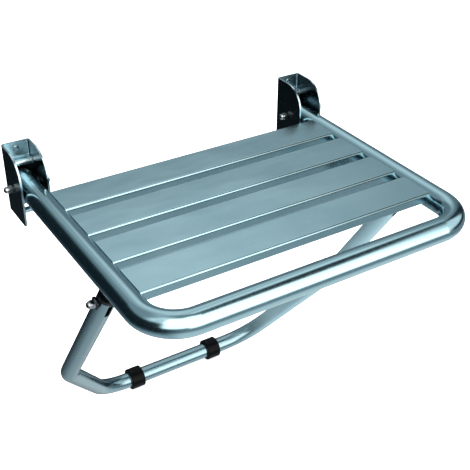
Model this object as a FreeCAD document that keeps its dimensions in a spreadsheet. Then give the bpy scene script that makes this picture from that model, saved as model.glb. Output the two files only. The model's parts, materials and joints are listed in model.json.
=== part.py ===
import FreeCAD, Part
import os
import re
import Sketcher
from FreeCAD import Placement, Rotation, Vector

# Fold-down shower seat, in millimetres.
# +X is the sitter's left to right as seen from the room, +Y points into the wall, +Z is up.
# The wall is the plane y = 0 and the origin is the centre of the four wall screws.

doc = FreeCAD.newDocument("fold_down_shower_seat")
sheet = doc.addObject("Spreadsheet::Sheet", "dims")

DIMENSIONS = [
    # wall brackets
    ("axle_span", 441.5, "between the centres of the two brackets and of the side tubes"),
    ("bracket_width", 39.6, "outside width of the folded channel"),
    ("bracket_depth", 63.0, "from the wall to the cheeks' front edges"),
    ("bracket_height", 96.0, ""),
    ("sheet_thick", 2.5, "bracket sheet"),
    ("fold_radius", 4.0, "outside of the channel's two folds"),
    ("cheek_radius", 34.0, "top front corner of each cheek"),
    ("cheek_foot_radius", 4.0, "bottom front corner of each cheek"),
    ("screw_spacing", 78.0, "between a bracket's upper and lower wall screws"),
    ("screw_hole_dia", 7.0, ""),
    ("hinge_out", 28.5, "hinge stud's distance from the wall"),
    ("hinge_drop", 5.0, "hinge stud below the origin"),
    ("rod_dia", 8.0, "stop and rest rods"),
    ("stop_rod_out", 8.0, "stop rod's distance from the wall"),
    ("stop_rod_rise", 24.5, "stop rod above the hinge stud"),
    ("rest_rod_out", 49.3, "rest rod's distance from the wall"),
    ("rest_rod_drop", 24.5, "rest rod below the hinge stud"),
    # M6 studs with a domed nut at each end
    ("stud_dia", 6.0, ""),
    ("stud_hole_dia", 6.2, "hole in sheet and tube walls that the stud is clamped through"),
    ("nut_flats", 10.0, "across the flats"),
    ("nut_skirt_high", 5.5, "hexagon part of the domed nut"),
    ("nut_dome_dia", 9.5, ""),
    ("nut_cone_low_dia", 14.8, "cone that rounds off the hexagon's corners, at the nut's foot"),
    ("nut_cone_high_dia", 9.6, "the same cone at its top"),
    ("nut_cone_high", 6.6, ""),
    ("nut_high", 11.0, "domed nut, over all"),
    ("nut_thread_deep", 8.0, ""),
    ("stud_end_gap", 1.0, "between the stud's end and the bottom of the nut's thread"),
    ("washer_dia", 12.0, "hinge washers, steel"),
    ("washer_thick", 1.6, ""),
    ("pad_dia", 16.0, "prop washers, nylon"),
    ("pad_thick", 2.0, ""),
    # seat frame and slats
    ("seat_tube_dia", 32.0, ""),
    ("seat_tube_wall", 2.0, ""),
    ("seat_reach", 402.7, "from the wall to the front tube's centre line"),
    ("seat_bend_radius", 48.0, "centre line of the two front bends"),
    ("tail_out", 13.0, "tube's rear end, from the wall"),
    ("vent_dia", 3.0, "weld vent hole in each side tube"),
    ("vent_out", 47.0, "vent hole's distance from the wall"),
    ("slat_deep", 54.2, "slat width, front to back"),
    ("slat_pitch", 68.9, ""),
    ("slat_thick", 13.2, ""),
    ("slat_wall", 1.5, ""),
    ("slat_edge_radius", 3.0, "two upper edges"),
    ("slat_foot_radius", 1.5, "two lower edges"),
    ("slat_first_out", 81.9, "first slat's rear edge, from the wall"),
    ("slat_rise", -0.7, "slat underside above the tube's centre line"),
    ("slat_half_length", 209.4, "cut square, with its lower corners notched to fit the tubes"),
    # hinge sleeve, bushes and plug
    ("sleeve_dia", 12.0, ""),
    ("bush_press_dia", 9.0, "bore of the sleeve and the lug, outside of the bushes"),
    ("bush_bore_dia", 6.1, "0.05 mm running clearance round the stud"),
    ("bush_length", 11.0, "hinge bush without its flange"),
    ("bush_flange_dia", 16.0, ""),
    ("bush_flange_thick", 1.0, ""),
    ("plug_head_thick", 2.0, ""),
    ("plug_stem_long", 7.0, ""),
    # prop leg
    ("pivot_out", 271.2, "prop stud's distance from the wall"),
    ("pivot_drop", 37.0, "prop stud below the hinge stud"),
    ("leg_tilt", 56.0, "degrees that the leg's plane lies below the horizontal"),
    ("leg_dia", 25.0, ""),
    ("leg_wall", 1.5, ""),
    ("leg_tip", 9.5, "tube beyond the prop stud"),
    ("leg_bend_at", 264.8, "from the stud down to the corner of each arm"),
    ("leg_reach", 452.8, "from the stud down to the crosspiece"),
    ("leg_splay", 6.6, "each arm's lower corner beyond its pivot, sideways"),
    ("leg_foot_half", 135.5, "half the crosspiece, corner to middle"),
    ("leg_bend_radius", 54.0, "centre line of the arms' bends"),
    ("foot_bend_radius", 72.0, "centre line of the crosspiece's bends"),
    ("prop_slack", 0.5, "between the arm and its two washers, both sides together"),
    ("slot_width", 6.2, ""),
    ("slot_deep", 25.5, "slot's end below the prop stud"),
    ("liner_deep", 30.0, "slot liner's stem below the prop stud"),
    ("liner_top", 17.0, "top of the liner's head above the prop stud"),
    ("liner_head_radius", 19.5, "rounding of the head about the prop stud"),
    ("liner_root", 1.0, "overlap of the liner's stem and head"),
    ("liner_gap", 0.1, "liner's clearance in the tube and over its end"),
    ("lug_thick", 5.0, ""),
    ("lug_half_wide", 13.0, ""),
    ("lug_below", 9.5, "lug below the prop stud"),
    ("lug_tip_radius", 8.5, "two lower corners of the lug"),
    ("lug_bush_long", 5.6, ""),
    ("ring_apart", 144.4, "between the centres of the two buffer rings"),
    ("ring_shift", -7.5, "middle of the two rings from the middle of the crosspiece"),
    ("ring_dia", 35.0, ""),
    ("ring_long", 23.0, ""),
    ("ring_edge", 1.6, "rounding of the ring's edges"),
    ("pin_dia", 3.0, ""),
    ("pin_head_dia", 5.5, ""),
    ("pin_head_high", 1.2, ""),
    ("pin_in_head", 1.0, "shank's length within the pin's head"),
]

for row, (alias, value, note) in enumerate(DIMENSIONS, start=1):
    sheet.set(f"A{row}", alias)
    sheet.set(f"B{row}", str(value))
    sheet.set(f"C{row}", note)
    sheet.setAlias(f"B{row}", alias)
doc.recompute()

ALIASES = {alias for alias, _, _ in DIMENSIONS}
SIDES = {"left": -1, "right": 1}
X_AXIS = Vector(1, 0, 0)
Z_AXIS = Vector(0, 0, 1)
NEAR = 0.01
LEAST_CUT = 0.1
HINGE_Z = "-hinge_drop"
PIVOT_Z = "-(hinge_drop + pivot_drop)"
finished = []


def bound(formula):
    """A formula in dimension names, written as the document's expressions need it."""
    return re.sub(r"[a-z_]+", lambda word: "dims." + word[0] if word[0] in ALIASES else word[0], formula)


def size(formula):
    """The present value of a formula in dimension names."""
    return float(sheet.evalExpression(bound(formula)))


def bind(item, **formulas):
    for name, formula in formulas.items():
        item.setExpression(name, bound(formula))


def put(item, label, place, rotation=Rotation()):
    """Names a sub-part and puts it in its place."""
    item.Label = label
    item.Placement = Placement(place, rotation)
    finished.append(item)


def finish(item, label, x="0", y="0", z="0", rotation=Rotation()):
    """Names a sub-part and puts it in a place given as formulas."""
    put(item, label, Vector(size(x), size(y), size(z)), rotation)


# ---- sketches ------------------------------------------------------------------------------

def new_body(label):
    return doc.addObject("PartDesign::Body", label + "_body")


def new_sketch(body, plane):
    sketch = body.newObject("Sketcher::SketchObject", "sketch")
    support = [item for item in body.Origin.OriginFeatures if item.Role == plane]
    sketch.AttachmentSupport = [(support[0], "")]
    sketch.MapMode = "FlatFace"
    return sketch


def hold(sketch, kind, *where_and_formula):
    """Adds one dimension to a sketch and binds it to the sheet."""
    *where, formula = where_and_formula
    index = sketch.addConstraint(Sketcher.Constraint(kind, *where, size(formula)))
    sketch.setExpression(f"Constraints[{index}]", bound(formula))


def hold_point(sketch, edge, end, x, y):
    hold(sketch, "DistanceX", -1, 1, edge, end, x)
    hold(sketch, "DistanceY", -1, 1, edge, end, y)


def outline(sketch, corners):
    """A closed outline of straight lines through corners given as formulas."""
    points = [Vector(size(x), size(y), 0) for x, y in corners]
    first = sketch.GeometryCount
    for index, point in enumerate(points):
        following = points[(index + 1) % len(points)]
        sketch.addGeometry(Part.LineSegment(point, following), False)
    for index, (x, y) in enumerate(corners):
        following = (index + 1) % len(corners)
        sketch.addConstraint(Sketcher.Constraint("Coincident", first + index, 2, first + following, 1))
        hold_point(sketch, first + index, 1, x, y)


def rectangle(sketch, x_low, x_high, y_low, y_high):
    outline(sketch, [(x_low, y_low), (x_high, y_low), (x_high, y_high), (x_low, y_high)])


def circle(sketch, x, y, radius):
    centre = Vector(size(x), size(y), 0)
    index = sketch.addGeometry(Part.Circle(centre, Z_AXIS, size(radius)), False)
    hold_point(sketch, index, 3, x, y)
    hold(sketch, "Radius", index, radius)


def path(sketch, points, bends):
    """An open line of straight runs joined by tangent arcs.

    points are the runs' two ends in turn; bends are the arcs' radii, one between each two runs.
    """
    places = [Vector(size(x), size(y), 0) for x, y in points]
    runs = list(zip(places[0::2], places[1::2]))
    lines = [sketch.addGeometry(Part.LineSegment(*run), False) for run in runs]
    for index, line in enumerate(lines):
        hold_point(sketch, line, 1, *points[2 * index])
        hold_point(sketch, line, 2, *points[2 * index + 1])
    for index, radius in enumerate(bends):
        start, end = runs[index][1], runs[index + 1][0]
        way_in = (start - runs[index][0]).normalize()
        way_out = (runs[index + 1][1] - end).normalize()
        middle = (start + end) * 0.5 + (way_in - way_out).normalize() * arc_rise(start, end, size(radius))
        arc = sketch.addGeometry(Part.Arc(start, middle, end), False)
        begin_end, last_end = (1, 2) if (sketch.Geometry[arc].StartPoint - start).Length < NEAR else (2, 1)
        sketch.addConstraint(Sketcher.Constraint("Coincident", arc, begin_end, lines[index], 2))
        sketch.addConstraint(Sketcher.Constraint("Coincident", arc, last_end, lines[index + 1], 1))
        hold(sketch, "Radius", arc, radius)


def arc_rise(start, end, radius):
    """Height of an arc above its chord."""
    half_chord = (end - start).Length / 2
    return radius - (radius ** 2 - half_chord ** 2) ** 0.5


# ---- features ------------------------------------------------------------------------------

def pad(body, sketch, length, kind="PartDesign::Pad"):
    """Material that reaches half its length to each side of the sketch."""
    feature = body.newObject(kind, "pad")
    feature.Profile = sketch
    feature.SideType = "Symmetric"
    bind(feature, Length=length)
    sketch.Visibility = False
    doc.recompute()


def pocket(body, sketch, length):
    """A cut that reaches half its length to each side of the sketch."""
    before = body.Shape.Volume
    pad(body, sketch, length, "PartDesign::Pocket")
    if body.Shape.Volume > before - LEAST_CUT:
        raise ValueError(f"{body.Name}: a pocket removed nothing")


def edges_where(shape, along, test):
    """Names of the straight edges along a direction whose ends pass a test of their point."""
    names = []
    for index, edge in enumerate(shape.Edges, start=1):
        ends = [vertex.Point for vertex in edge.Vertexes]
        straight = len(ends) == 2 and (ends[1] - ends[0]).cross(along).Length < NEAR
        if straight and all(test(point) for point in ends):
            names.append(f"Edge{index}")
    return names


def rims(shape, radius):
    """Names of the circular edges of a radius."""
    names = []
    for index, edge in enumerate(shape.Edges, start=1):
        if isinstance(edge.Curve, Part.Circle) and near(edge.Curve.Radius, radius):
            names.append(f"Edge{index}")
    return names


def near(value, formula):
    return abs(value - size(formula)) < NEAR


def fillet(body, radius, finder, *finder_inputs):
    """Rounds the edges that a finder names on the body so far."""
    base = body.Tip
    feature = body.newObject("PartDesign::Fillet", "fillet")
    feature.Base = (base, finder(base.Shape, *finder_inputs))
    bind(feature, Radius=radius)
    doc.recompute()


def pipe(body, points, bends, start_out, outer_radius, wall):
    """A bent hollow tube along a path in the body's XY plane that starts towards -Y.

    start_out is the start's distance along -Y from the body's origin.
    """
    spine = new_sketch(body, "XY_Plane")
    path(spine, points, bends)
    profile = new_sketch(body, "XZ_Plane")
    profile.AttachmentOffset = Placement(Vector(0, 0, size(start_out)), Rotation())
    circle(profile, points[0][0], "0", outer_radius)
    circle(profile, points[0][0], "0", f"{outer_radius} - {wall}")
    doc.recompute()
    feature = body.newObject("PartDesign::AdditivePipe", "pipe")
    feature.Profile = profile
    feature.Spine = (spine, [f"Edge{index + 1}" for index in range(spine.GeometryCount)])
    doc.recompute()


# ---- simple solids -------------------------------------------------------------------------

def cylinder(radius, height, start="0"):
    """A round bar along Z from the height start."""
    item = doc.addObject("Part::Cylinder", "cylinder")
    bind(item, Radius=radius, Height=height)
    item.Placement.Base = Vector(0, 0, size(start))
    return item


def cone(low_radius, high_radius, height):
    item = doc.addObject("Part::Cone", "cone")
    bind(item, Radius1=low_radius, Radius2=high_radius, Height=height)
    return item


def hexagon(flats, height):
    item = doc.addObject("Part::Prism", "hexagon")
    item.Polygon = 6
    bind(item, Circumradius=f"{flats} / sqrt(3)", Height=height)
    return item


def combine(kind, base, tool):
    item = doc.addObject("Part::" + kind, kind.lower())
    item.Base = base
    item.Tool = tool
    doc.recompute()
    return item


# ---- wall brackets -------------------------------------------------------------------------

def wall_bracket(side):
    """A channel folded from sheet; its two cheeks stand out from the wall."""
    body = new_body("wall_bracket")
    plan = new_sketch(body, "XY_Plane")
    outline(plan, [
        ("-bracket_width / 2", "0"),
        ("bracket_width / 2", "0"),
        ("bracket_width / 2", "-bracket_depth"),
        ("bracket_width / 2 - sheet_thick", "-bracket_depth"),
        ("bracket_width / 2 - sheet_thick", "-sheet_thick"),
        ("sheet_thick - bracket_width / 2", "-sheet_thick"),
        ("sheet_thick - bracket_width / 2", "-bracket_depth"),
        ("-bracket_width / 2", "-bracket_depth"),
    ])
    pad(body, plan, "bracket_height")
    fillet(body, "fold_radius", edges_where, Z_AXIS, lambda p: near(p.y, "0"))
    fillet(body, "fold_radius - sheet_thick", edges_where, Z_AXIS, lambda p: near(p.y, "-sheet_thick"))
    fillet(body, "cheek_radius", edges_where, X_AXIS,
           lambda p: near(p.y, "-bracket_depth") and p.z > 0)
    fillet(body, "cheek_foot_radius", edges_where, X_AXIS,
           lambda p: near(p.y, "-bracket_depth") and p.z < 0)
    screws = new_sketch(body, "XZ_Plane")
    circle(screws, "0", "screw_spacing / 2", "screw_hole_dia / 2")
    circle(screws, "0", "-screw_spacing / 2", "screw_hole_dia / 2")
    pocket(body, screws, "3 * sheet_thick")
    hinge = new_sketch(body, "YZ_Plane")
    circle(hinge, "-hinge_out", HINGE_Z, "stud_hole_dia / 2")
    pocket(body, hinge, "2 * bracket_width")
    finish(body, "wall_bracket_" + side, x=on_side(side))


def on_side(side):
    return f"{SIDES[side]} * axle_span / 2"


def cross_rod(label, side, out, height):
    """A round bar between the inner faces of a bracket's cheeks."""
    rod = cylinder("rod_dia / 2", "bracket_width - 2 * sheet_thick")
    start = f"{on_side(side)} - bracket_width / 2 + sheet_thick"
    finish(rod, f"{label}_{side}", start, f"-{out}", height, ALONG_X)


# ---- fasteners, each along Z ----------------------------------------------------------------

ALONG_X = Rotation(Vector(0, 1, 0), 90)
ALONG_MINUS_X = Rotation(Vector(0, 1, 0), -90)


def domed_nut():
    """A domed nut standing on z = 0, its dome towards +Z."""
    blank = hexagon("nut_flats", "nut_skirt_high")
    skirt = combine("Common", blank, cone("nut_cone_low_dia / 2", "nut_cone_high_dia / 2", "nut_cone_high"))
    barrel_high = "nut_high - nut_dome_dia / 2"
    barrel = cylinder("nut_dome_dia / 2", barrel_high)
    dome = doc.addObject("Part::Sphere", "dome")
    bind(dome, Radius="nut_dome_dia / 2")
    dome.Placement.Base = Vector(0, 0, size(barrel_high))
    outside = combine("Fuse", combine("Fuse", skirt, barrel), dome)
    return combine("Cut", outside, cylinder("stud_dia / 2", "nut_thread_deep"))


def washers(radius, thick, gap):
    """Two washers on one stud, a gap apart, with z = 0 midway."""
    rings = []
    for low in (f"({gap}) / 2", f"-(({gap}) / 2 + {thick})"):
        disc = cylinder(radius, thick, low)
        rings.append(combine("Cut", disc, cylinder("stud_hole_dia / 2", thick, low)))
    item = doc.addObject("Part::Compound", "washers")
    item.Links = rings
    return item


def clamp_set(prefix, side, width, washer_radius, washer_high, y, z):
    """A threaded stud with a washer and a domed nut at each end, round something of a width."""
    middle = on_side(side)
    grip = f"({width} + 2 * {washer_high})"
    stud_half = f"({grip} / 2 + nut_thread_deep - stud_end_gap)"
    stud = cylinder("stud_dia / 2", f"2 * {stud_half}")
    finish(stud, f"{prefix}_stud_{side}", f"{middle} - {stud_half}", y, z, ALONG_X)
    finish(washers(washer_radius, washer_high, width), f"{prefix}_washers_{side}", middle, y, z, ALONG_X)
    for place in ("outer", "inner"):
        way = outward(side, place)
        turn = ALONG_X if way > 0 else ALONG_MINUS_X
        finish(domed_nut(), f"{prefix}_nut_{side}_{place}", f"{middle} + {way} * {grip} / 2", y, z, turn)


def outward(side, place):
    """The way along X that a tube's outer or inner face looks."""
    return SIDES[side] * (1 if place == "outer" else -1)


# ---- seat ----------------------------------------------------------------------------------

def seat_frame():
    """One tube bent into a U that is open towards the wall."""
    body = new_body("seat_frame")
    straight = "seat_reach - seat_bend_radius"
    across = "axle_span / 2 - seat_bend_radius"
    pipe(body, [
        ("-axle_span / 2", "-tail_out"),
        ("-axle_span / 2", f"-({straight})"),
        (f"-({across})", "-seat_reach"),
        (across, "-seat_reach"),
        ("axle_span / 2", f"-({straight})"),
        ("axle_span / 2", "-tail_out"),
    ], ["seat_bend_radius"] * 2, "tail_out", "seat_tube_dia / 2", "seat_tube_wall")
    sleeves = new_sketch(body, "YZ_Plane")
    circle(sleeves, "-hinge_out", "0", "sleeve_dia / 2")
    pocket(body, sleeves, "2 * axle_span")
    vents = new_sketch(body, "XY_Plane")
    vents.AttachmentOffset = Placement(Vector(0, 0, size("seat_tube_dia / 2")), Rotation())
    for side in SIDES:
        circle(vents, on_side(side), "-vent_out", "vent_dia / 2")
    pocket(body, vents, "seat_tube_dia")
    finish(body, "seat_frame", z=HINGE_Z)


def slat(number):
    """A flat tube whose ends are cut to fit the side tubes."""
    body = new_body("slat")
    section = new_sketch(body, "YZ_Plane")
    rectangle(section, "-slat_deep / 2", "slat_deep / 2", "0", "slat_thick")
    rectangle(section, "slat_wall - slat_deep / 2", "slat_deep / 2 - slat_wall",
              "slat_wall", "slat_thick - slat_wall")
    pad(body, section, "2 * slat_half_length")
    fillet(body, "slat_edge_radius", edges_where, X_AXIS,
           lambda p: near(abs(p.y), "slat_deep / 2") and near(p.z, "slat_thick"))
    fillet(body, "slat_foot_radius", edges_where, X_AXIS,
           lambda p: near(abs(p.y), "slat_deep / 2") and near(p.z, "0"))
    saddle = new_sketch(body, "XZ_Plane")
    for side in SIDES:
        circle(saddle, on_side(side), "-slat_rise", "seat_tube_dia / 2")
    pocket(body, saddle, "2 * slat_deep")
    middle = f"-(slat_first_out + slat_deep / 2 + {number - 1} * slat_pitch)"
    finish(body, f"slat_{number}", y=middle, z=f"{HINGE_Z} + slat_rise")


def hinge_sleeve(side):
    """A steel sleeve welded across the side tube."""
    outside = cylinder("sleeve_dia / 2", "seat_tube_dia")
    item = combine("Cut", outside, cylinder("bush_press_dia / 2", "seat_tube_dia"))
    start = f"{on_side(side)} - seat_tube_dia / 2"
    finish(item, "hinge_sleeve_" + side, start, "-hinge_out", HINGE_Z, ALONG_X)


def hinge_bush(side, place):
    """A flanged bush; the flange is the thrust face against the cheek."""
    stem = cylinder("bush_press_dia / 2", "bush_length", "-bush_length")
    flange = cylinder("bush_flange_dia / 2", "bush_flange_thick")
    bore = cylinder("bush_bore_dia / 2", "bush_length + bush_flange_thick", "-bush_length")
    item = combine("Cut", combine("Fuse", stem, flange), bore)
    way = outward(side, place)
    at = f"{on_side(side)} + {way} * seat_tube_dia / 2"
    turn = ALONG_X if way > 0 else ALONG_MINUS_X
    finish(item, f"hinge_bush_{side}_{place}", at, "-hinge_out", HINGE_Z, turn)


def end_plug(side):
    """A plug pushed into the side tube's open rear end."""
    head = cylinder("seat_tube_dia / 2", "plug_head_thick")
    stem = cylinder("seat_tube_dia / 2 - seat_tube_wall", "plug_stem_long", "-plug_stem_long")
    plug = combine("Fuse", head, stem)
    facing_wall = Rotation(Vector(1, 0, 0), -90)
    finish(plug, "end_plug_" + side, on_side(side), "-tail_out", HINGE_Z, facing_wall)


def prop_lug(side):
    """A plate that hangs from the side tube into the slot of the prop leg."""
    body = new_body("prop_lug")
    plate = new_sketch(body, "YZ_Plane")
    outline(plate, [
        ("-lug_half_wide", "pivot_drop"),
        ("-lug_below", "-lug_below"),
        ("lug_below", "-lug_below"),
        ("lug_half_wide", "pivot_drop"),
    ])
    pad(body, plate, "lug_thick")
    fillet(body, "lug_tip_radius", edges_where, X_AXIS, lambda p: near(p.z, "-lug_below"))
    bore = new_sketch(body, "YZ_Plane")
    circle(bore, "0", "0", "bush_press_dia / 2")
    pocket(body, bore, "2 * lug_thick")
    saddle = new_sketch(body, "XZ_Plane")
    circle(saddle, "0", "pivot_drop", "seat_tube_dia / 2")
    pocket(body, saddle, "4 * lug_half_wide")
    finish(body, "prop_lug_" + side, on_side(side), "-pivot_out", PIVOT_Z)


def lug_bush(side):
    outside = cylinder("bush_press_dia / 2", "lug_bush_long")
    item = combine("Cut", outside, cylinder("bush_bore_dia / 2", "lug_bush_long"))
    finish(item, "lug_bush_" + side, f"{on_side(side)} - lug_bush_long / 2", "-pivot_out", PIVOT_Z, ALONG_X)


# ---- prop leg: local +Y runs from the pivot up each arm, +Z is the normal of the leg's plane --

LEG_TURN = Rotation(X_AXIS, 180 - size("leg_tilt"))
LEG_CORNER = "(axle_span / 2 + leg_splay)"
SPLAY_TURN = "atan(leg_splay / leg_bend_at)"
DIAGONAL_TURN = f"atan(({LEG_CORNER} - leg_foot_half) / (leg_reach - leg_bend_at))"


def prop_leg():
    """One tube bent into a trapezium that is open at the top, its ends cut square and slotted."""
    body = new_body("prop_leg")
    arm_back = f"leg_bend_radius * tan(({SPLAY_TURN} + {DIAGONAL_TURN}) / 2)"
    foot_back = f"foot_bend_radius * tan((90 deg - {DIAGONAL_TURN}) / 2)"
    arm = [
        (f"(axle_span / 2 - 2 * leg_tip * tan({SPLAY_TURN}))", "2 * leg_tip"),
        (f"({LEG_CORNER} - {arm_back} * sin({SPLAY_TURN}))",
         f"-(leg_bend_at - {arm_back} * cos({SPLAY_TURN}))"),
    ]
    diagonal = [
        (f"({LEG_CORNER} - {arm_back} * sin({DIAGONAL_TURN}))",
         f"-(leg_bend_at + {arm_back} * cos({DIAGONAL_TURN}))"),
        (f"(leg_foot_half + {foot_back} * sin({DIAGONAL_TURN}))",
         f"-(leg_reach - {foot_back} * cos({DIAGONAL_TURN}))"),
    ]
    foot = (f"(leg_foot_half - {foot_back})", "-leg_reach")
    right = arm + diagonal + [foot]
    left = [("-" + x, y) for x, y in right]
    bends = ["leg_bend_radius", "foot_bend_radius", "foot_bend_radius", "leg_bend_radius"]
    pipe(body, left + right[::-1], bends, "-2 * leg_tip", "leg_dia / 2", "leg_wall")
    ends = new_sketch(body, "XY_Plane")
    slots = new_sketch(body, "XY_Plane")
    for side in SIDES:
        rectangle(slots, f"{on_side(side)} - slot_width / 2", f"{on_side(side)} + slot_width / 2",
                  "-slot_deep", "2 * leg_tip")
        rectangle(ends, f"{on_side(side)} - leg_dia", f"{on_side(side)} + leg_dia", "leg_tip", "3 * leg_tip")
    pocket(body, ends, "2 * leg_dia")
    pocket(body, slots, "2 * leg_dia")
    holes = new_sketch(body, "YZ_Plane")
    circle(holes, "0", "0", "stud_hole_dia / 2")
    pocket(body, holes, "2 * axle_span")
    finish(body, "prop_leg", y="-pivot_out", z=PIVOT_Z, rotation=LEG_TURN)


def turned(item, rotation):
    """Turns an item about the origin."""
    item.Placement = Placement(rotation.multVec(item.Placement.Base), rotation)
    return item


def slot_liner(side):
    """A nylon liner in the arm's open end; its slot and rounded head let the lug swing."""
    upward = Rotation(X_AXIS, -90)
    leaning = Rotation(Z_AXIS, size(f"{SIDES[side]} * {SPLAY_TURN}")) * upward
    stem_long = "liner_deep + leg_tip + liner_root"
    stem = turned(cylinder("leg_dia / 2 - leg_wall - liner_gap", stem_long, "-liner_deep"), leaning)
    head_long = "liner_top - leg_tip - liner_gap"
    head = turned(cylinder("leg_dia / 2", head_long, "leg_tip + liner_gap"), upward)
    head.Placement.Base.x = size(f"-{SIDES[side]} * leg_tip * tan({SPLAY_TURN})")
    rounding = turned(cylinder("liner_head_radius", "2 * leg_dia", "-leg_dia"), ALONG_X)
    blank = combine("Fuse", stem, combine("Common", head, rounding))
    slot = doc.addObject("Part::Box", "slot")
    bind(slot, Length="slot_width", Width="slot_deep + liner_top", Height="2 * leg_dia")
    slot.Placement.Base = Vector(size("-slot_width / 2"), size("-slot_deep"), size("-leg_dia"))
    hole = turned(cylinder("stud_hole_dia / 2", "2 * leg_dia", "-leg_dia"), ALONG_X)
    liner = combine("Cut", combine("Cut", blank, slot), hole)
    put(liner, "slot_liner_" + side, on_leg(on_side(side), "0", "0"), LEG_TURN)


def on_leg(x, y, z):
    """World place of a point given in the leg's own directions."""
    turned = LEG_TURN.multVec(Vector(size(x), size(y), size(z)))
    return turned + Vector(0, -size("pivot_out"), size(PIVOT_Z))


def buffer_ring(side):
    """A ring round the crosspiece, with a hole in its top for the pin."""
    body = new_body("buffer_ring")
    section = new_sketch(body, "XY_Plane")
    rectangle(section, "-ring_long / 2", "ring_long / 2", "leg_dia / 2", "ring_dia / 2")
    turned = body.newObject("PartDesign::Revolution", "turned")
    turned.Profile = section
    turned.ReferenceAxis = (section, ["H_Axis"])
    doc.recompute()
    fillet(body, "ring_edge", rims, "ring_dia / 2")
    hole = new_sketch(body, "XY_Plane")
    hole.AttachmentOffset = Placement(Vector(0, 0, size("ring_dia / 2")), Rotation())
    circle(hole, "0", "0", "pin_dia / 2")
    pocket(body, hole, "ring_dia")
    put(body, "buffer_ring_" + side, ring_place(side))


def ring_place(side):
    return on_leg(f"ring_shift + {SIDES[side]} * ring_apart / 2", "-leg_reach", "0")


def ring_pin(side):
    """A small round-headed pin in the top of a buffer ring."""
    shank = cylinder("pin_dia / 2", "(ring_dia - leg_dia) / 2 + pin_in_head", "leg_dia / 2")
    head = doc.addObject("Part::Ellipsoid", "head")
    bind(head, Radius1="pin_head_high", Radius2="pin_head_dia / 2", Radius3="pin_head_dia / 2")
    head.Placement.Base = Vector(0, 0, size("ring_dia / 2"))
    seat = cylinder("pin_head_dia / 2", "pin_head_high", "ring_dia / 2")
    put(combine("Fuse", shank, combine("Common", head, seat)), "ring_pin_" + side, ring_place(side))


for side in SIDES:
    wall_bracket(side)
    cross_rod("stop_rod", side, "stop_rod_out", f"{HINGE_Z} + stop_rod_rise")
    cross_rod("rest_rod", side, "rest_rod_out", f"{HINGE_Z} - rest_rod_drop")
    clamp_set("hinge", side, "bracket_width", "washer_dia / 2", "washer_thick", "-hinge_out", HINGE_Z)
    hinge_sleeve(side)
    hinge_bush(side, "outer")
    hinge_bush(side, "inner")
    end_plug(side)
    prop_lug(side)
    lug_bush(side)
    clamp_set("prop", side, "leg_dia + prop_slack", "pad_dia / 2", "pad_thick", "-pivot_out", PIVOT_Z)
    slot_liner(side)
    buffer_ring(side)
    ring_pin(side)
seat_frame()
for number in range(1, 5):
    slat(number)
prop_leg()
doc.recompute()

for item in doc.Objects:
    if {"Invalid", "Error"} & set(item.State):
        raise ValueError(f"{item.Name} ({item.Label}) failed to recompute")
os.makedirs("parts", exist_ok=True)
for item in finished:
    if item.Shape.isNull() or not item.Shape.isValid():
        raise ValueError(f"{item.Label} has no valid shape")
    item.Shape.exportStep(f"parts/{item.Label}.step")
    print(f"{item.Label:24} {len(item.Shape.Solids)} solid(s) {item.Shape.Volume / 1000:8.2f} cm3")
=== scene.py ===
import json
import math
import random
import bpy
from mathutils import Matrix, Vector


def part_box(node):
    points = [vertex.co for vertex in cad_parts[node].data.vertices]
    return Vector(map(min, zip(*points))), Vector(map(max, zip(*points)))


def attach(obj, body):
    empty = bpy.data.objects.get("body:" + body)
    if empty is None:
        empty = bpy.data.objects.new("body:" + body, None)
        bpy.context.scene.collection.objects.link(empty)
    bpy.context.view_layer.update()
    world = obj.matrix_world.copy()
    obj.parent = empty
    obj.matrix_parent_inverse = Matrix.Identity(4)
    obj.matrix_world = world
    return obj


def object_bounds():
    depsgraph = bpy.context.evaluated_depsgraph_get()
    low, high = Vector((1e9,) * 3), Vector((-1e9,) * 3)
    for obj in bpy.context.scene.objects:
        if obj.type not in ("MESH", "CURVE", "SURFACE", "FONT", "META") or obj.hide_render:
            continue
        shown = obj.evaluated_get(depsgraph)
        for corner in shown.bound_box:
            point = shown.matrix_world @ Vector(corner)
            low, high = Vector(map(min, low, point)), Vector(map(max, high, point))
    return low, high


# A fold-down shower seat: finishes, weld beads and screw-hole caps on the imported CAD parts, then
# the studio and the camera. Lengths are in metres and tints are linear colours.

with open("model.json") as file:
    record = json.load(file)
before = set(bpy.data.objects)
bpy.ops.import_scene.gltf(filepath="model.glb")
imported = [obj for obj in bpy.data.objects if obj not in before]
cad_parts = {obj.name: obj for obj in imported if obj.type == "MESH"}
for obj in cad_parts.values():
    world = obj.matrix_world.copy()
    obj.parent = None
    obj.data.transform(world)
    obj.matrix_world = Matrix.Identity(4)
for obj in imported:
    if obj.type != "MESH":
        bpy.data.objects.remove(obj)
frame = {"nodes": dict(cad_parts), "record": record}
cad_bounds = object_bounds()
nodes = frame["nodes"]


# ---- materials ---------------------------------------------------------------------------------

EVEN = (1, 1, 1)
RAMP_START, RAMP_END = 0.3, 0.7
CLOUD_SCALE, CLOUD_DETAIL = 9.0, 5.0
POLISH_DETAIL, POLISH_FINENESS = 6.0, 0.6
SMOOTHER, ROUGHER = 0.02, 0.03
WAVE_SCALE, WAVE_STRETCH, WAVE_DETAIL = 14.0, (0.6, 1.3, 1.3), 2.0
BLACK_ROUGH, BLACK_UNEVEN = 0.3, 0.08
SPECKLE_DETAIL, SPECKLE_LIGHTER, SPECKLE_DEPTH = 3.0, 1.6, 0.00002


def new_material(name):
    material = bpy.data.materials.new(name)
    material.use_nodes = True
    tree = material.node_tree
    return material, tree, tree.nodes["Principled BSDF"]


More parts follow.
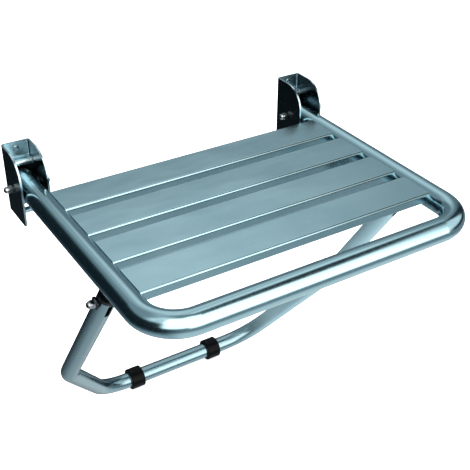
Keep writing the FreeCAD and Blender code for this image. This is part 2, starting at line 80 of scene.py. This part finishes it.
def noise(tree, scale, stretch, detail, fineness=0.5):
    """Noise in the object's own metres; stretch squeezes it along each axis."""
    place = tree.nodes.new("ShaderNodeTexCoord")
    mapping = tree.nodes.new("ShaderNodeMapping")
    mapping.inputs["Scale"].default_value = stretch
    texture = tree.nodes.new("ShaderNodeTexNoise")
    texture.inputs["Scale"].default_value = scale
    texture.inputs["Detail"].default_value = detail
    texture.inputs["Roughness"].default_value = fineness
    tree.links.new(place.outputs["Object"], mapping.inputs["Vector"])
    tree.links.new(mapping.outputs["Vector"], texture.inputs["Vector"])
    return texture.outputs["Fac"]


def ramp(tree, value, low, high):
    """A value spread between two colours or two numbers."""
    colours = tree.nodes.new("ShaderNodeValToRGB")
    ends = zip(colours.color_ramp.elements, (RAMP_START, RAMP_END), (low, high))
    for element, position, level in ends:
        element.position = position
        element.color = (*level, 1) if isinstance(level, tuple) else (level, level, level, 1)
    tree.links.new(value, colours.inputs["Fac"])
    return colours.outputs["Color"]


def bump(tree, shader, height, distance, onto=None):
    """Bumps the shader, on top of another bump's normal if one is given."""
    node = tree.nodes.new("ShaderNodeBump")
    node.inputs["Distance"].default_value = distance
    node.inputs["Strength"].default_value = 1.0
    tree.links.new(height, node.inputs["Height"])
    if onto:
        tree.links.new(onto, node.inputs["Normal"])
    tree.links.new(node.outputs["Normal"], shader.inputs["Normal"])
    return node.outputs["Normal"]


def stainless(name, dark, light, rough, grain, depth, stretch=EVEN, waves=0.0):
    """Satin stainless steel: cloudy tint, fine grain, uneven polish and slight waviness."""
    material, tree, shader = new_material(name)
    shader.inputs["Metallic"].default_value = 1.0
    clouds = noise(tree, CLOUD_SCALE, EVEN, CLOUD_DETAIL)
    tree.links.new(ramp(tree, clouds, dark, light), shader.inputs["Base Color"])
    polish = noise(tree, grain, stretch, POLISH_DETAIL, POLISH_FINENESS)
    tree.links.new(ramp(tree, polish, rough - SMOOTHER, rough + ROUGHER),
                   shader.inputs["Roughness"])
    wavy = None
    if waves:
        wavy = bump(tree, shader, noise(tree, WAVE_SCALE, WAVE_STRETCH, WAVE_DETAIL), waves)
    bump(tree, shader, polish, depth, onto=wavy)
    return material


def black(name, colour, grain, shine):
    """Moulded black rubber or nylon with a fine speckle."""
    material, tree, shader = new_material(name)
    shader.inputs["Specular IOR Level"].default_value = shine
    speckle = noise(tree, grain, EVEN, SPECKLE_DETAIL)
    light = tuple(channel * SPECKLE_LIGHTER for channel in colour)
    tree.links.new(ramp(tree, speckle, colour, light), shader.inputs["Base Color"])
    tree.links.new(ramp(tree, speckle, BLACK_ROUGH - BLACK_UNEVEN, BLACK_ROUGH + BLACK_UNEVEN),
                   shader.inputs["Roughness"])
    bump(tree, shader, speckle, SPECKLE_DEPTH)
    return material


def sums(tree, operation, first, second=0.0):
    """A Math node on two inputs, each a number or another node's output."""
    node = tree.nodes.new("ShaderNodeMath")
    node.operation = operation
    for socket, value in zip(node.inputs, (first, second)):
        if isinstance(value, float):
            socket.default_value = value
        else:
            tree.links.new(value, socket)
    return node.outputs["Value"]


def along(tree, source, axis, low, high):
    """0 at low to 1 at high, along one axis of the object's place or of its unsigned normal."""
    place = tree.nodes.new("ShaderNodeTexCoord")
    split = tree.nodes.new("ShaderNodeSeparateXYZ")
    tree.links.new(place.outputs[source], split.inputs["Vector"])
    value = split.outputs[axis]
    if source == "Normal":
        value = sums(tree, "ABSOLUTE", value)
    spread = tree.nodes.new("ShaderNodeMapRange")
    spread.interpolation_type = "SMOOTHSTEP"
    spread.inputs["From Min"].default_value = low
    spread.inputs["From Max"].default_value = high
    tree.links.new(value, spread.inputs["Value"])
    return spread.outputs["Result"]


def tone(material, amount, shade):
    """Multiplies the material's tint by a shade where amount is 1, painting shade into its colour.
    """
    tree = material.node_tree
    shader = tree.nodes["Principled BSDF"]
    tint = shader.inputs["Base Color"].links[0].from_socket
    mix = tree.nodes.new("ShaderNodeMix")
    mix.data_type = "RGBA"
    mix.blend_type = "MULTIPLY"
    for socket in mix.inputs:
        if (socket.type, socket.name) == ("RGBA", "A"):
            tree.links.new(tint, socket)
        elif (socket.type, socket.name) == ("RGBA", "B"):
            socket.default_value = (*shade, 1)
        elif (socket.type, socket.name) == ("VALUE", "Factor"):
            tree.links.new(amount, socket)
    toned = [out for out in mix.outputs if out.type == "RGBA"][0]
    tree.links.new(toned, shader.inputs["Base Color"])


# The two ends of the cloudy tint, the roughness, the grain's noise scale and bump depth, how the
# grain is squeezed along each axis, and the depth of the broad waves.
STEELS = {
    "tube_steel": dict(dark=(0.33, 0.535, 0.60), light=(0.37, 0.575, 0.64), rough=0.17,
                       grain=300.0, depth=0.000004),
    "slat_steel": dict(dark=(0.315, 0.515, 0.58), light=(0.385, 0.595, 0.66), rough=0.21,
                       grain=26.0, depth=0.0, stretch=(0.12, 1.6, 1.6), waves=0.0006),
    # The prop leg's tint is darker than the tubes': painted shade, for the leg stands under the
    # seat.
    "painted_shade_prop_steel": dict(dark=(0.235, 0.38, 0.43), light=(0.265, 0.41, 0.46), rough=0.23,
                       grain=300.0, depth=0.000004),
    "bracket_steel": dict(dark=(0.40, 0.56, 0.62), light=(0.46, 0.62, 0.68), rough=0.2,
                          grain=60.0, depth=0.000001, stretch=(1, 1, 0.4)),
    "fastener_steel": dict(dark=(0.36, 0.4, 0.43), light=(0.44, 0.48, 0.5), rough=0.14,
                           grain=200.0, depth=0.000004),
    # Near-black steel for the washers and the prop lug; on the prop lug the near-black is painted
    # shade.
    "near_black_steel": dict(dark=(0.025, 0.034, 0.04), light=(0.05, 0.062, 0.07), rough=0.3,
                       grain=300.0, depth=0.000006),
    "weld_steel": dict(dark=(0.2, 0.27, 0.3), light=(0.3, 0.38, 0.42), rough=0.28,
                       grain=500.0, depth=0.00002),
}
BLACKS = {
    "black_rubber": dict(colour=(0.0012, 0.0018, 0.0022), grain=900.0, shine=0.07),
    "black_nylon": dict(colour=(0.0012, 0.0014, 0.0018), grain=600.0, shine=0.09),
}
LOOKS = {name: stainless(name, **look) for name, look in STEELS.items()}
LOOKS.update({name: black(name, **look) for name, look in BLACKS.items()})

# The right-hand side of the prop leg mirrors less than the left.
PROP_DULL_X = (0.11, 0.17)
PROP_LESS_METALLIC = 0.55
prop_tree = LOOKS["painted_shade_prop_steel"].node_tree
less = sums(prop_tree, "MULTIPLY", along(prop_tree, "Object", "X", *PROP_DULL_X),
            -PROP_LESS_METALLIC)
prop_tree.links.new(sums(prop_tree, "ADD", less, 1.0),
                    prop_tree.nodes["Principled BSDF"].inputs["Metallic"])

# The brackets' cheeks, whose normals point along X, are darker than their backs: painted shade.
CHEEK_NORMAL_X = (0.6, 0.95)
CHEEK_PAINTED_SHADE = (0.25, 0.23, 0.23)
bracket_tree = LOOKS["bracket_steel"].node_tree
tone(LOOKS["bracket_steel"], along(bracket_tree, "Normal", "X", *CHEEK_NORMAL_X), CHEEK_PAINTED_SHADE)

# The slats' rounded edges, between their flat tops and their upright sides, darken to the right:
# painted shade that dims their highlight there.
EDGE_BELOW_TOP = (0.99, 0.93)
EDGE_ABOVE_SIDE = (0.12, 0.3)
EDGE_X = (-0.08, 0.17)
EDGE_PAINTED_SHADE = (0.33, 0.33, 0.33)
slat_tree = LOOKS["slat_steel"].node_tree
painted_edge_shade = sums(slat_tree, "MULTIPLY", along(slat_tree, "Normal", "Z", *EDGE_BELOW_TOP),
            along(slat_tree, "Normal", "Z", *EDGE_ABOVE_SIDE))
painted_edge_shade = sums(slat_tree, "MULTIPLY", painted_edge_shade, along(slat_tree, "Object", "X", *EDGE_X))
tone(LOOKS["slat_steel"], painted_edge_shade, EDGE_PAINTED_SHADE)

# Every CAD node wears its material slot's look, apart from these; the prop leg's darker tint is
# painted shade.
OWN_LOOK = {"prop_leg": "painted_shade_prop_steel", "hinge_washers": "near_black_steel",
            "prop_washers": "near_black_steel", "prop_lug": "near_black_steel"}
for subpart in frame["record"]["subparts"]:
    node = subpart["node"]
    kind = node.removesuffix("_left").removesuffix("_right")
    mesh = nodes[node].data
    mesh.materials.clear()
    mesh.materials.append(LOOKS[OWN_LOOK.get(kind, subpart["material_slot"])])


# ---- weld beads and hole caps ------------------------------------------------------------------

SIDES = {"left": -1, "right": 1}
X_AXIS = Vector((1, 0, 0))
TUBE_RADIUS = 0.016
BEAD_SIDES = 8
BEAD_RIPPLE = 0.0011
BEAD_SWELL = 0.16
BEAD_UNEVEN = 0.05
BEAD_END = 0.35
BEAD_PROUD = 0.0003
ROD_BEAD_RADIUS, ROD_BEAD_POINTS, ROD_BEAD_INSET = 0.0009, 40, 0.0004
SLEEVE_BEAD_RADIUS, SLEEVE_BEAD_POINTS = 0.0006, 48
LUG_BEAD_RADIUS, LUG_BEAD_POINTS = 0.0012, 50
SLAT_BEAD_RADIUS, SLAT_BEAD_POINTS, SLAT_BEAD_INSET = 0.001, 90, 0.003
# The cap's middle, top, groove and rim: share of the hole's radius, and distance from the wall.
CAP_PROFILE = [(0.0, 0.0016), (0.5, 0.0016), (0.84, 0.0016),
               (0.87, 0.0012), (0.95, 0.0012), (0.985, 0.0006)]
CAP_POINTS = 32
chance = random.Random(7)


def add_mesh(name, points, faces, material):
    mesh = bpy.data.meshes.new(name)
    mesh.from_pydata(points, [], faces)
    mesh.materials.append(material)
    item = bpy.data.objects.new(name, mesh)
    bpy.context.scene.collection.objects.link(item)
    return item


def piece(name, points, faces, look, body):
    item = add_mesh(name, points, faces, LOOKS[look])
    item.data.polygons.foreach_set("use_smooth", [True] * len(faces))
    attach(item, body)


def turns(count):
    """The angles of evenly spaced points round a circle."""
    return [2 * math.pi * index / count for index in range(count)]


def bead(points, faces, path, radius, closed):
    """Adds a rippled weld bead along a path of evenly spaced points that doesn't run along X."""
    start = len(points)
    count = len(path)
    for index, at in enumerate(path):
        ahead = path[(index + 1) % count] if closed or index + 1 < count else at
        behind = path[index - 1] if closed or index else at
        forward = (ahead - behind).normalized()
        across = (X_AXIS - forward * forward.dot(X_AXIS)).normalized()
        upward = forward.cross(across)
        travelled = index * (path[1] - path[0]).length
        swell = (1 + BEAD_SWELL * math.sin(travelled / BEAD_RIPPLE * 2)
                 + chance.uniform(-BEAD_UNEVEN, BEAD_UNEVEN))
        if not closed and index in (0, count - 1):
            swell *= BEAD_END
        for angle in turns(BEAD_SIDES):
            out = across * math.cos(angle) + upward * math.sin(angle)
            points.append(at + out * radius * swell)
    for index in range(count if closed else count - 1):
        here, there = start + index * BEAD_SIDES, start + (index + 1) % count * BEAD_SIDES
        for side in range(BEAD_SIDES):
            beside = (side + 1) % BEAD_SIDES
            faces.append((here + side, here + beside, there + beside, there + side))
    if not closed:
        faces.append(tuple(range(start + BEAD_SIDES - 1, start - 1, -1)))
        last = start + (count - 1) * BEAD_SIDES
        faces.append(tuple(range(last, last + BEAD_SIDES)))


def line_along_y(x, y, z, reach, count):
    """Evenly spaced points from reach before y to reach past it."""
    start, end = Vector((x, y - reach, z)), Vector((x, y + reach, z))
    return [start.lerp(end, index / (count - 1)) for index in range(count)]


def middle(node):
    """The middle of a node's box, and half its size."""
    low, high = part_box(node)
    return (Vector(low) + Vector(high)) / 2, (Vector(high) - Vector(low)) / 2


def rod_welds(side):
    """A bead round each end of the two rods, in the corner with the bracket's cheeks."""
    points, faces = [], []
    for rod in ("stop_rod_", "rest_rod_"):
        centre, half = middle(rod + side)
        for end in (-1, 1):
            x = centre.x + end * (half.x - ROD_BEAD_INSET)
            ring = [Vector((x, centre.y + half.y * math.cos(turn),
                            centre.z + half.z * math.sin(turn)))
                    for turn in turns(ROD_BEAD_POINTS)]
            bead(points, faces, ring, ROD_BEAD_RADIUS, True)
    piece("bracket_welds_" + side, points, faces, "weld_steel", "wall_brackets")


def seat_welds(side):
    """Beads round the hinge sleeve, along the prop lug and under the slat ends."""
    points, faces = [], []
    sleeve, half = middle("hinge_sleeve_" + side)
    for face in (-1, 1):
        ring = []
        for turn in turns(SLEEVE_BEAD_POINTS):
            rise = half.z * math.sin(turn)
            ring.append(Vector((sleeve.x + face * math.sqrt(TUBE_RADIUS ** 2 - rise ** 2),
                                sleeve.y + half.y * math.cos(turn), sleeve.z + rise)))
        bead(points, faces, ring, SLEEVE_BEAD_RADIUS, True)
    lug, half = middle("prop_lug_" + side)
    under = sleeve.z - math.sqrt(TUBE_RADIUS ** 2 - half.x ** 2)
    for face in (-1, 1):
        x = lug.x + face * (half.x + BEAD_PROUD)
        bead(points, faces, line_along_y(x, lug.y, under, half.y, LUG_BEAD_POINTS),
             LUG_BEAD_RADIUS, False)
    for number in (1, 2, 3, 4):
        slat, half = middle(f"slat_{number}")
        under = slat.z - half.z
        tube_half = math.sqrt(TUBE_RADIUS ** 2 - (under - sleeve.z) ** 2)
        x = SIDES[side] * (abs(sleeve.x) - tube_half - BEAD_PROUD)
        bead(points, faces,
             line_along_y(x, slat.y, under, half.y - SLAT_BEAD_INSET, SLAT_BEAD_POINTS),
             SLAT_BEAD_RADIUS, False)
    piece("seat_welds_" + side, points, faces, "weld_steel", "seat")


def hole_caps(side):
    """A flat cap with a grooved rim, pressed into each screw hole of the bracket's back plate."""
    points, faces = [], []
    pattern = frame["record"]["mounts"][0]["dims"]
    radius = pattern["hole_r_mm"] / 1000
    x = SIDES[side] * pattern["spacing_x_mm"] / 2000
    for row in (-1, 1):
        z = row * pattern["spacing_y_mm"] / 2000
        start = len(points)
        points.append(Vector((x, -CAP_PROFILE[0][1], z)))
        for share, out in CAP_PROFILE[1:]:
            for turn in turns(CAP_POINTS):
                points.append(Vector((x + radius * share * math.cos(turn), -out,
                                      z + radius * share * math.sin(turn))))
        for index in range(CAP_POINTS):
            beside = (index + 1) % CAP_POINTS
            faces.append((start, start + 1 + index, start + 1 + beside))
            for ring in range(len(CAP_PROFILE) - 2):
                here = start + 1 + ring * CAP_POINTS
                there = here + CAP_POINTS
                faces.append((here + index, there + index, there + beside, here + beside))
        faces.append(tuple(range(len(points) - 1, len(points) - CAP_POINTS - 1, -1)))
    piece("screw_hole_caps_" + side, points, faces, "bracket_steel", "wall_brackets")


for side in SIDES:
    rod_welds(side)
    seat_welds(side)
    hole_caps(side)


# ---- stage, lights and camera ------------------------------------------------------------------

CENTRE = Vector((0, -0.2, 0))
FLOOR_HALF = 20
FLOOR_GAP = 0.0005
FLOOR_COLOUR = (0.9, 0.905, 0.91)
FLOOR_GLOW = 0.7
WORLD_STRENGTH = 1.6

# What the polished steel mirrors: a dome of soft studio panels that only reflections see. Each
# panel runs between two azimuths and two elevations, in degrees, then has its radiance, how soft
# its sides and its top and bottom are, and how far its bottom edge falls per degree of azimuth.
PANELS = {
    "front_key": (134, 234, 0, 76, 2.5, 12, 12, 0),
    "front_key_foot": (136, 186, -9, 4, 2.2, 8, 8, 0),
    "front_left_shoulder": (222, 272, 34, 78, 1.0, 18, 18, 0),
    "right_strip": (87, 134, 8, 47, 1.15, 8, 8, 0),
    "back_right_high": (2, 44, 34.0, 72, 0.74, 34, 8, 0.19),
    "back_right_top": (48, 66, 42, 72, 0.85, 14, 10, 0),
    "back_right_corner": (62, 78, 46, 72, 0.7, 8, 8, 0),
    "back_right": (-12, 66, -5, 74, 0.24, 12, 12, 0),
    "left_back": (-100, -4, 29, 96, 0.38, 14, 14, 0),
    "overhead": (-180, 180, 68, 110, 0.3, 12, 12, 0),
    "floor_left": (-50, -27, -48, -26, 0.05, 8, 6, 0),
}
# The floor in the dome, lit but for a dark corner. Each term is the radiance it adds, the
# elevation below which it starts, and over how many degrees it comes in.
LIT_FLOOR = [(0.3, -4, 8), (0.6, -26, 22)]
DARK_FLOOR = [(0.58, -26, 50)]
DARK_CORNER = -50
DARK_REACH = 70
DARK_FADE = 50
DOME_BASE = 0.02
DOME_RED_POWER, DOME_BLUE_POWER = 1.12, 0.94
DOME_RADIUS = 12.0
DOME_STEP = 3


def smooth(value):
    """0 up to 0, 1 from 1, and a smooth rise between."""
    value = min(max(value, 0.0), 1.0)
    return value * value * (3 - 2 * value)


def inside(value, low, high, soft):
    """1 well between two limits, 0 well outside, a half at each."""
    return smooth((value - low) / soft + 0.5) * smooth((high - value) / soft + 0.5)


def below(elevation, terms):
    """The radiance that terms add at an elevation."""
    return sum(radiance * smooth((start - elevation) / fade) for radiance, start, fade in terms)


def floor_radiance(azimuth, elevation):
    """The floor: brightest underneath, dim towards the horizon and darker in one corner."""
    away = abs((azimuth - DARK_CORNER + 180) % 360 - 180)
    lit = smooth((away - DARK_REACH) / DARK_FADE)
    return lit * below(elevation, LIT_FLOOR) + (1 - lit) * below(elevation, DARK_FLOOR)


def dome_colour(azimuth, elevation):
    """Radiance of the dome; the dimmer it is, the bluer."""
    total = DOME_BASE + floor_radiance(azimuth, elevation)
    for left, right, low, high, radiance, side_soft, end_soft, lean in PANELS.values():
        turned = (azimuth - left + side_soft) % 360 + left - side_soft
        bottom = low - lean * (turned - left)
        total += (radiance * inside(turned, left, right, side_soft)
                  * inside(elevation, bottom, high, end_soft))
    return (total ** DOME_RED_POWER, total, total ** DOME_BLUE_POWER, 1)


def direction(azimuth, elevation):
    """A unit vector; azimuth in degrees from +Y towards +X, elevation above the horizon."""
    azimuth, elevation = math.radians(azimuth), math.radians(elevation)
    flat = math.cos(elevation)
    return Vector((math.sin(azimuth) * flat, math.cos(azimuth) * flat, math.sin(elevation)))


def reflection_dome():
    """A sphere whose vertex colours glow, and that only glossy rays can see."""
    material = bpy.data.materials.new("studio_dome")
    material.use_nodes = True
    material.cycles.emission_sampling = "NONE"
    tree = material.node_tree
    tree.nodes.clear()
    level = tree.nodes.new("ShaderNodeAttribute")
    level.attribute_name = "glow"
    glow = tree.nodes.new("ShaderNodeEmission")
    out = tree.nodes.new("ShaderNodeOutputMaterial")
    tree.links.new(level.outputs["Color"], glow.inputs["Color"])
    tree.links.new(glow.outputs["Emission"], out.inputs["Surface"])
    azimuths = range(0, 360, DOME_STEP)
    elevations = range(-90, 91, DOME_STEP)
    around = len(azimuths)
    points = [CENTRE + direction(a, e) * DOME_RADIUS for e in elevations for a in azimuths]
    faces = [(row * around + k, row * around + (k + 1) % around,
              (row + 1) * around + (k + 1) % around, (row + 1) * around + k)
             for row in range(len(elevations) - 1) for k in range(around)]
    dome = add_mesh("studio_dome", points, faces, material)
    values = dome.data.attributes.new("glow", "FLOAT_COLOR", "POINT")
    colours = [dome_colour(a, e) for e in elevations for a in azimuths]
    values.data.foreach_set("color", [channel for colour in colours for channel in colour])
    for kind in ("camera", "diffuse", "transmission", "volume_scatter", "shadow"):
        setattr(dome, "visible_" + kind, False)


def pale_floor():
    """A matt floor that also glows, so that shadows on it stay faint. The steel doesn't mirror
    it: it mirrors the dome's floor."""
    material, _, shader = new_material("pale_floor")
    shader.inputs["Base Color"].default_value = (*FLOOR_COLOUR, 1)
    shader.inputs["Emission Color"].default_value = (1, 1, 1, 1)
    shader.inputs["Emission Strength"].default_value = FLOOR_GLOW
    shader.inputs["Roughness"].default_value = 1.0
    shader.inputs["Specular IOR Level"].default_value = 0.0
    height = cad_bounds[0][2] - FLOOR_GAP
    corners = [(x * FLOOR_HALF, y * FLOOR_HALF, height)
               for x, y in ((-1, -1), (1, -1), (1, 1), (-1, 1))]
    floor = add_mesh("floor", corners, [(0, 1, 2, 3)], material)
    floor.visible_glossy = False


def softbox(name, at, width, height, watts):
    """A rectangular light that faces the seat and that the steel doesn't mirror."""
    data = bpy.data.lights.new(name, "AREA")
    data.shape = "RECTANGLE"
    data.size, data.size_y = width, height
    data.energy = watts
    lamp = bpy.data.objects.new(name, data)
    lamp.location = at
    lamp.rotation_euler = (CENTRE - at).to_track_quat("-Z", "Y").to_euler()
    bpy.context.scene.collection.objects.link(lamp)
    lamp.visible_glossy = False


reflection_dome()
pale_floor()
softbox("key", CENTRE + direction(150, 40) * 2.6, width=3.2, height=2.9, watts=20)
softbox("ceiling", Vector((0, 0, 3.2)), width=6, height=6, watts=40)
world = bpy.data.worlds.new("studio")
world.use_nodes = True
world.node_tree.nodes["Background"].inputs["Color"].default_value = (1, 1, 1, 1)
world.node_tree.nodes["Background"].inputs["Strength"].default_value = WORLD_STRENGTH
world.cycles_visibility.glossy = False
bpy.context.scene.world = world
bpy.context.scene.view_settings.view_transform = "Standard"

CAMERA_AT = (-0.5384, -1.0582, 0.5774)
CAMERA_YAW = math.radians(32.133)
CAMERA_PITCH = math.radians(-32.372)
CAMERA_ROLL = math.radians(0.341)
FOCAL_LENGTH = 68.18
SENSOR_WIDTH = 36.0
camera_data = bpy.data.cameras.new("camera")
camera_data.sensor_width = SENSOR_WIDTH
camera_data.lens = FOCAL_LENGTH
camera = bpy.data.objects.new("camera", camera_data)
aim = Matrix.Rotation(-CAMERA_YAW, 4, "Z") @ Matrix.Rotation(math.pi / 2 + CAMERA_PITCH, 4, "X")
camera.matrix_world = Matrix.Translation(CAMERA_AT) @ aim @ Matrix.Rotation(CAMERA_ROLL, 4, "Z")
bpy.context.scene.collection.objects.link(camera)
bpy.context.scene.camera = camera
